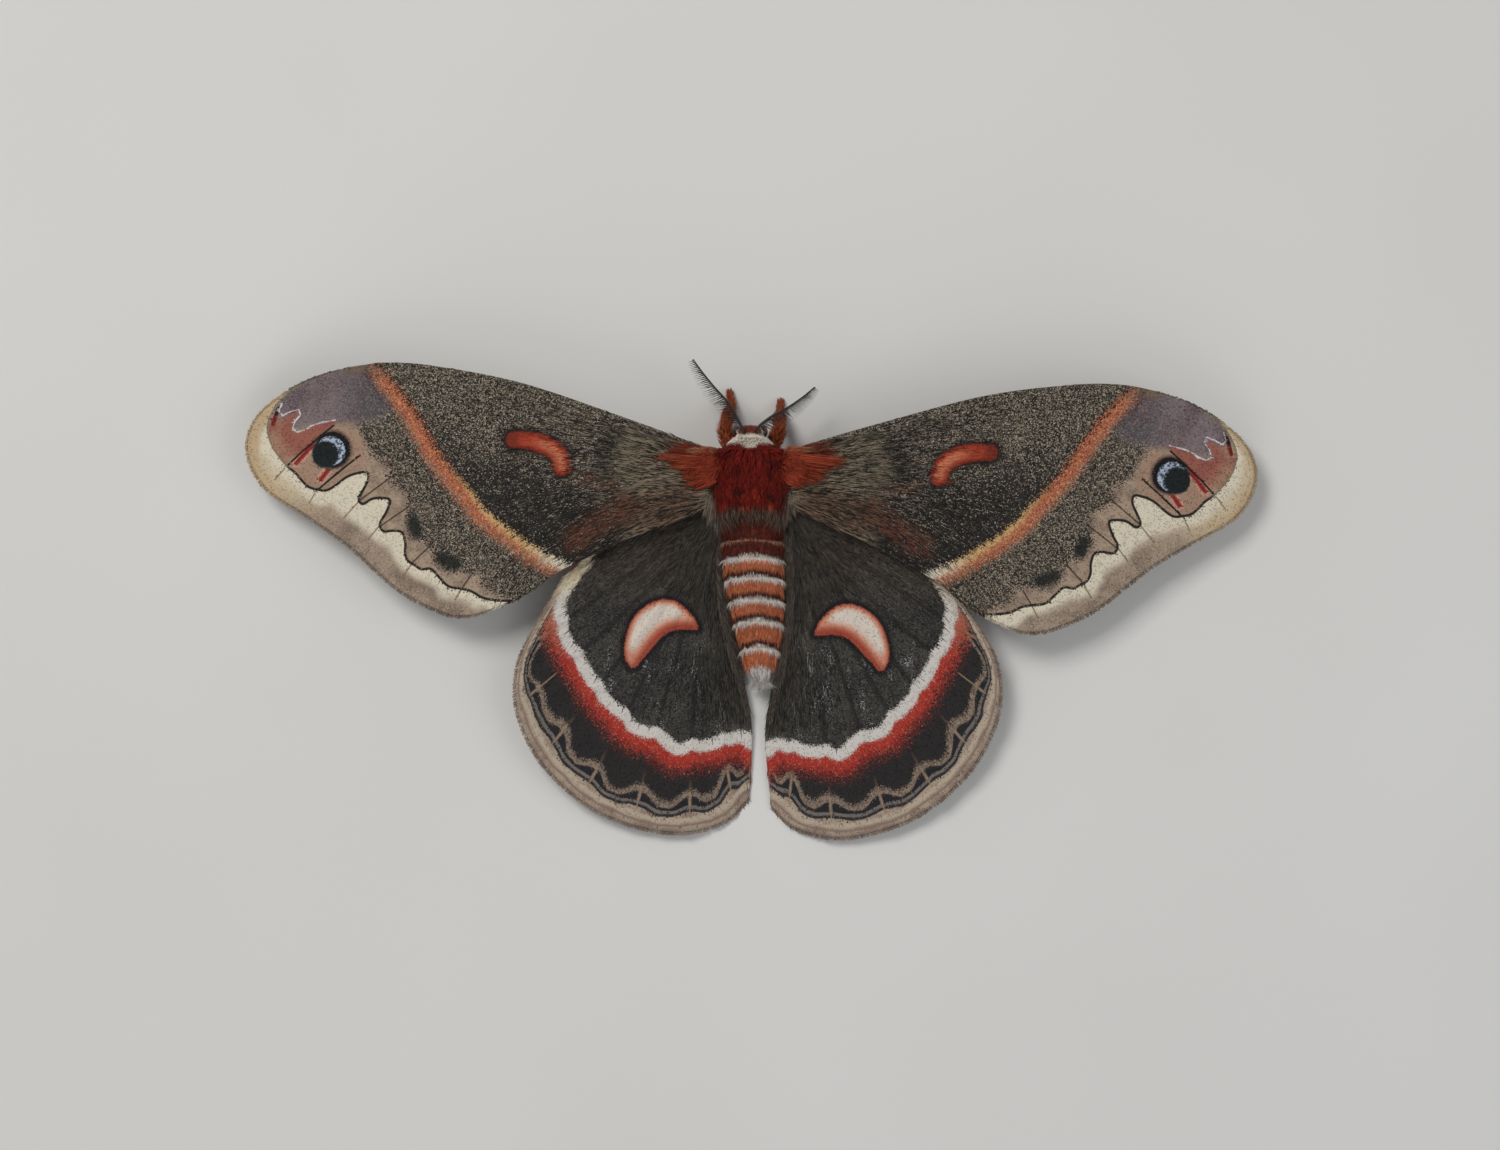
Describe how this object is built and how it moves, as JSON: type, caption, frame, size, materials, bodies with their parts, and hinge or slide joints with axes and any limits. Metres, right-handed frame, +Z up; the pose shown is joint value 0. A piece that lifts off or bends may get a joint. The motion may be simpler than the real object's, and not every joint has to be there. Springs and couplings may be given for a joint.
{
  "type": "cecropia moth",
  "caption": "Life-size cecropia moth at rest with its wings spread flat, standing on its feet and belly.",
  "frame": {"origin": "on the floor under the middle of the spread wings' box, below the front of the abdomen", "axes": "+X from wing tip to wing tip towards the moth's right, +Y ahead out of its head, +Z up out of its back"},
  "size_m": [0.1455, 0.0697, 0.0137],
  "materials": {
    "forewing": "matt scales, dark grey-brown with red, cream and black markings",
    "hindwing": "matt scales, dark grey-brown with white and red bands",
    "thorax_fur": "long dark red fur",
    "collar_fur": "cream fur",
    "wing_base_fur": "long orange-red fur",
    "abdomen_fur": "short fur in white, orange and dark red rings",
    "head_fur": "short red-brown fur",
    "eye": "glossy black, finely faceted",
    "antenna": "matt brown-black",
    "leg_fur": "orange-brown fur with darker feet"
  },
  "bodies": {
    "root": {"head": "head_fur", "collar": "collar_fur", "thorax": "thorax_fur", "abdomen": "abdomen_fur", "eye_left": "eye", "antenna_left": "antenna", "tegula_left": "wing_base_fur", "forewing_left": "forewing", "hindwing_left": "hindwing", "leg_front_left_femur": "leg_fur", "leg_front_left_tibia": "leg_fur", "leg_front_left_tarsus": "leg_fur", "leg_middle_left_femur": "leg_fur", "leg_middle_left_tibia": "leg_fur", "leg_middle_left_tarsus": "leg_fur", "leg_hind_left_femur": "leg_fur", "leg_hind_left_tibia": "leg_fur", "leg_hind_left_tarsus": "leg_fur", "eye_right": "eye", "antenna_right": "antenna", "tegula_right": "wing_base_fur", "forewing_right": "forewing", "hindwing_right": "hindwing", "leg_front_right_femur": "leg_fur", "leg_front_right_tibia": "leg_fur", "leg_front_right_tarsus": "leg_fur", "leg_middle_right_femur": "leg_fur", "leg_middle_right_tibia": "leg_fur", "leg_middle_right_tarsus": "leg_fur", "leg_hind_right_femur": "leg_fur", "leg_hind_right_tibia": "leg_fur", "leg_hind_right_tarsus": "leg_fur"}
  },
  "joints": []
}
